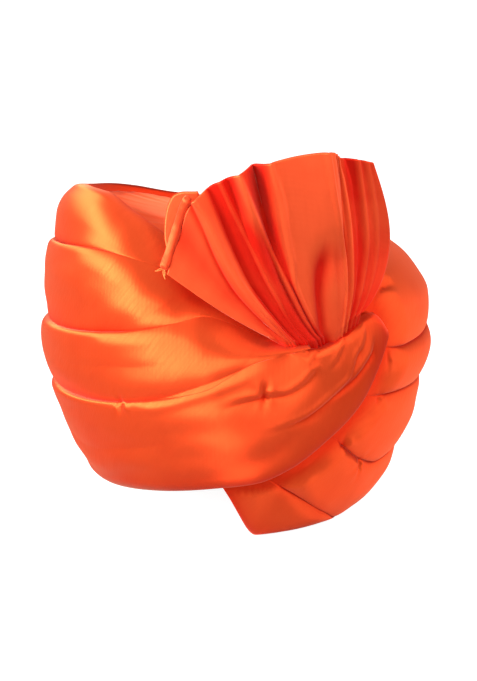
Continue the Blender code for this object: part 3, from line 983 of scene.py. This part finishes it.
def fan_grid(folds, root_gap, tip_gap, columns, steps, lines=()):
    """Points of a pleated cloth, a row for each place across and a column along its length."""
    rows = np.array([(k, *fold) for k, fold in enumerate(folds)], float)
    across = np.linspace(0, len(folds) - 1, columns)
    root_direction, angle, length, bow, depth = (
        read(rows[:, [0, k]], across) for k in range(1, 6)
    )
    start, end = KNOT_ENDS
    seat = FAN_SEAT + curl_rise((root_direction - start) / (end - start))
    root_height = read(MIDDLE_CREASE, root_direction) + seat / WRAP_HEIGHT
    root = wall_point(root_direction, root_height, 0)
    centre = knot_centre()
    angle = np.radians(angle)
    tip_x = centre[0] + FAN_LENGTH * length * np.cos(angle)
    tip_z = centre[2] + FAN_LENGTH * length * np.sin(angle)
    share = np.linspace(HIDDEN_ROOT, 1, steps + 1)
    swell = np.sin(math.pi * np.clip(share, 0, 1) ** 0.75)
    x = root[:, 0, None] + (tip_x - root[:, 0])[:, None] * share
    x = x + FAN_BOW * bow[:, None] * swell
    z = root[:, 2, None] + (tip_z - root[:, 2])[:, None] * share
    opening = PLEAT_ROOT + (1 - PLEAT_ROOT) * ease(share, 0, 0.9)
    set_back = root_gap + (tip_gap - root_gap) * ease(share, 0, 0.5)
    lift = PLEAT_DEPTH * depth[:, None] * opening - set_back
    step = np.hypot(np.gradient(x, axis=0), np.gradient(z, axis=0))
    wide = step / np.gradient(across)[:, None] * 1000
    narrowing = 0.35 + 0.65 * ease(share, HIDDEN_ROOT, 0.7)
    relief = np.zeros_like(x)
    for height, left, right, route in lines:
        end = route[-1][0]
        distance = (across[:, None] - read(route, share)) * wide
        width = np.where(distance < 0, left, right) * narrowing
        reach = share <= end + 0.02 if end < 1 else True
        fade = 1 if end == 1 else 1 - ease(share, end * 0.6, end)
        ridge = np.exp(-((distance / width) ** 2))
        relief += height * (0.45 + 0.55 * narrowing) * fade * ridge * reach
    lift = lift + relief / 1000
    # Painted shade: between the narrow pleats, where light is caught, the colour is set deeper red
    # place by place
    left_pleat_shade = 0.4 * ease(across, 0.3, 1.2) * (1 - ease(across, 1.8, 2.2))
    right_pleat_shade = 0.65 * ease(across, 12.1, 12.6)
    pleat_shade = ease(across, 2.4, 3.2) * (1 - ease(across, 7.8, 8.3)) + (left_pleat_shade + right_pleat_shade)
    fold = 0.05 + 0.95 * pleat_shade[:, None]
    # More painted shade where the cloth lies back and near the knot; raised pleats and lines take
    # it away
    fold = fold - (lift + set_back) * 1000 / PLEAT_SHADE_MM - relief / LINE_SHADE_MM
    fold = np.clip(fold + 0.3 * (1 - ease(share, 0, 0.4)), 0, 1)
    lift = lift - ROOT_DIVE * np.clip(-share, 0, 1)
    along = share * FAN_LENGTH + 0 * fold
    cloth = np.stack([along, across[:, None] * FOLD_CLOTH + 0 * fold, 0 * fold], -1)
    return fan_point(x, z, lift), cloth, fold


# The same satin, single and pressed: less of the streak, and a deeper painted shade between the
# pleats
fan_satin = woven_satin("woven polyester satin, fan", "#EE562D", "#D41A0C", 0.50, 0.7)
places = (len(FAN_FOLDS) - 1) * STEPS_PER_FOLD + 1
grid, cloth, fold = fan_grid(FAN_FOLDS, 0, 0, places, FAN_STEPS, FAN_LINES)
fan = sheet_mesh("fan_satin", grid, cloth, fold, FAN_THICKNESS)
fan.data.materials.append(fan_satin)
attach(fan, "root")
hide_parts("fan")
gaps = (BACK_FOLD_ROOT_GAP, BACK_FOLD_GAP)
back_grid, back_cloth, fold = fan_grid(BACK_FOLD, *gaps, BACK_FOLD_PLACES, BACK_FOLD_STEPS)
back_fold = sheet_mesh(
    "fan_back_fold_satin", back_grid, back_cloth, 0 * fold, BACK_FOLD_THICKNESS
)
back_fold.data.materials.append(fan_satin)
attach(back_fold, "root")
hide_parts("fan_back_fold")

# The rolled hem
# The fan's left edge is rolled over on itself and slip stitched, a soft roll about 7 mm across.
# It follows the tips of the first folds, smoothed to one curve.
HEM_RADIUS = 0.0033
HEM_OFFSET = 0.0036  # from the fan's edge to the middle of the roll
HEM_LENGTH = 0.08
HEM_PLACES = 33
HEM_TURNS = 20
HEM_FLATNESS = 0.9
HEM_END = 0.06  # share of the length over which each end rounds off
OUTWARD_AT = 12  # place across the fan where the way outward is taken
tips = grid[:HEM_PLACES, -1]
outward = grid[OUTWARD_AT, -1] - grid[OUTWARD_AT, -3]
outward = outward / np.linalg.norm(outward)
path = tips + outward * HEM_OFFSET
places = np.linspace(0, 1, len(path))
curve = np.polynomial.polynomial.polyfit(places, path, 3)
path = np.polynomial.polynomial.polyval(places, curve).T
turns = np.linspace(0, math.tau, HEM_TURNS, endpoint=False)
way = np.gradient(path, axis=0)
way /= np.linalg.norm(way, axis=1, keepdims=True)
side = np.cross(way, outward)
side /= np.linalg.norm(side, axis=1, keepdims=True)
up = np.cross(side, way)
thick = HEM_RADIUS * (1 + 0.04 * np.sin(places * 17) + 0.02 * np.sin(places * 47 + 1))
ends = np.clip(np.minimum(places, 1 - places) / HEM_END, 0, 1)
thick = thick * np.sqrt(1 - (1 - ends) ** 2 * 0.9)
rings = (
    path[:, None]
    + thick[:, None, None] * np.cos(turns)[None, :, None] * side[:, None]
    + thick[:, None, None] * HEM_FLATNESS * np.sin(turns)[None, :, None] * up[:, None]
)
along, around = places[:, None] * HEM_LENGTH, turns[None] * HEM_RADIUS
hem_cloth = np.stack(np.broadcast_arrays(along, around, 0 * around), -1)
hem = closed_mesh("fan_hem_satin", rings[:, ::-1], hem_cloth, 0.2 + 0 * rings[..., 0])
hem.data.materials.append(fan_satin)
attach(hem, "root")
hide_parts("fan_hem")

# Loose ends of the hem's thread
# Four ends of the twisted polyester thread that sewed the hem, left long where it starts, at its
# lower end. The photograph shows only a pale blur there, so their shapes and number are guessed.
THREAD_RADIUS = 0.0003  # thicker than real thread, so that it shows
THREAD_ROOT = 0.001  # how far up in the hem each end starts
THREAD_STEPS = 12
THREAD_TURNS = 8
THREAD_ENDS = [
    # angle off the hem's line in radians, length in metres, curl in radians
    (-0.9, 0.0055, 0.8),
    (-0.2, 0.0075, -0.7),
    (0.4, 0.0060, 0.9),
    (1.1, 0.0045, -0.6),
]
# The thread is paler and yellower than the satin, and it has no gloss
hem_thread = woven_satin("twisted polyester thread", "#DC7A3C", "#B4541E", 0.60, 0.0)
for number, (spread, length, curl) in enumerate(THREAD_ENDS, 1):
    steps = np.linspace(0, 1, THREAD_STEPS)[:, None]
    heading = -way[0] * np.cos(spread + curl * steps) + up[0] * np.sin(spread + curl * steps)
    route = path[0] + way[0] * THREAD_ROOT + np.cumsum(heading, axis=0) * length / len(steps)
    turns = np.linspace(0, math.tau, THREAD_TURNS, endpoint=False)[None, :, None]
    rings = np.cos(turns) * side[0] + np.sin(turns) * np.cross(heading, side[0])[:, None]
    rings = route[:, None] + THREAD_RADIUS * rings
    thread_cloth = np.concatenate(
        np.broadcast_arrays(steps[..., None] * length, turns * THREAD_RADIUS, 0 * turns), -1
    )
    thread = closed_mesh(f"hem_thread_{number}", rings, thread_cloth, 0 * rings[..., 0])
    thread.data.materials.append(hem_thread)
    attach(thread, "root")

# The studio set
# A pale matt floor, a tall soft box at the front left, broad soft fills from the right and the
# front, a weak light from above, and a camera that looks slightly down.
CAMERA_TARGET = Vector((0.0096, 0, 0.108))
CAMERA_ELEVATION = math.radians(14)
CAMERA_DISTANCE = 1.5
CAMERA_LENS = 111.7
LIGHTS_AIM = Vector((0, 0, 0.12))
# The world and the floor look white to the camera, and give the satin less light than that
WORLD_LIGHT = 0.34
WORLD_SEEN = 1.0
FLOOR_SEEN = 0.9
FLOOR_SIZE = 12
FLOOR_DROP = 0.0005
back = Vector((0, -math.cos(CAMERA_ELEVATION), math.sin(CAMERA_ELEVATION)))
camera_data = bpy.data.cameras.new("camera")
camera_data.lens = CAMERA_LENS
camera_data.sensor_width = 36
camera = bpy.data.objects.new("camera", camera_data)
camera.location = CAMERA_TARGET + back * CAMERA_DISTANCE
camera.rotation_euler = (-back).to_track_quat("-Z", "Y").to_euler()
bpy.context.scene.collection.objects.link(camera)
bpy.context.scene.camera = camera

LIGHTS = [
    # name, place, width, height, watts
    ("tall soft box", (-1.42, -0.80, 0.48), 0.75, 1.2, 80),
    ("broad fill", (1.6, -0.5, 0.8), 2.6, 2.2, 36),
    ("front fill", (0.0, -2.3, 1.2), 4.6, 2.4, 30),
    ("top light", (-0.1, 0.1, 1.6), 1.4, 1.4, 9),
]
for name, place, wide, tall, watts in LIGHTS:
    light = bpy.data.lights.new(name, "AREA")
    light.shape = "RECTANGLE"
    light.size = wide
    light.size_y = tall
    light.energy = watts
    lamp = bpy.data.objects.new(name, light)
    lamp.location = place
    lamp.rotation_euler = (LIGHTS_AIM - Vector(place)).to_track_quat("-Z", "Y").to_euler()
    bpy.context.scene.collection.objects.link(lamp)

world = bpy.data.worlds.new("studio")
world.use_nodes = True
studio = world.node_tree
sky = studio.nodes["Background"]
sky.inputs["Color"].default_value = (1, 1, 1, 1)
seen = add(studio, "ShaderNodeLightPath").outputs["Is Camera Ray"]
shown = {"Value": seen, "To Min": WORLD_LIGHT, "To Max": WORLD_SEEN}
strength = add(studio, "ShaderNodeMapRange", shown)
studio.links.new(strength.outputs["Result"], sky.inputs["Strength"])
bpy.context.scene.world = world

# Matt painted board: it has no gloss, and looks so bright that hardly any shadow shows on it
floor_paint = bpy.data.materials.new("matt white floor, lit from below")
floor_paint.use_nodes = True
paint = floor_paint.node_tree
floor_shader = paint.nodes["Principled BSDF"]
floor_shader.inputs["Base Color"].default_value = linear("#B4B3B1")
floor_shader.inputs["Roughness"].default_value = 0.9
floor_shader.inputs["Emission Color"].default_value = (1, 1, 1, 1)
seen = add(paint, "ShaderNodeLightPath").outputs["Is Camera Ray"]
glow = add(paint, "ShaderNodeMapRange", {"Value": seen, "To Min": 0.0, "To Max": FLOOR_SEEN})
paint.links.new(glow.outputs["Result"], floor_shader.inputs["Emission Strength"])
bpy.ops.mesh.primitive_plane_add(size=FLOOR_SIZE, location=(0, 0, -FLOOR_DROP))
floor = bpy.context.object
floor.name = "floor"
floor.data.materials.append(floor_paint)

bpy.context.scene.view_settings.view_transform = "Standard"
bpy.context.scene.view_settings.look = "None"
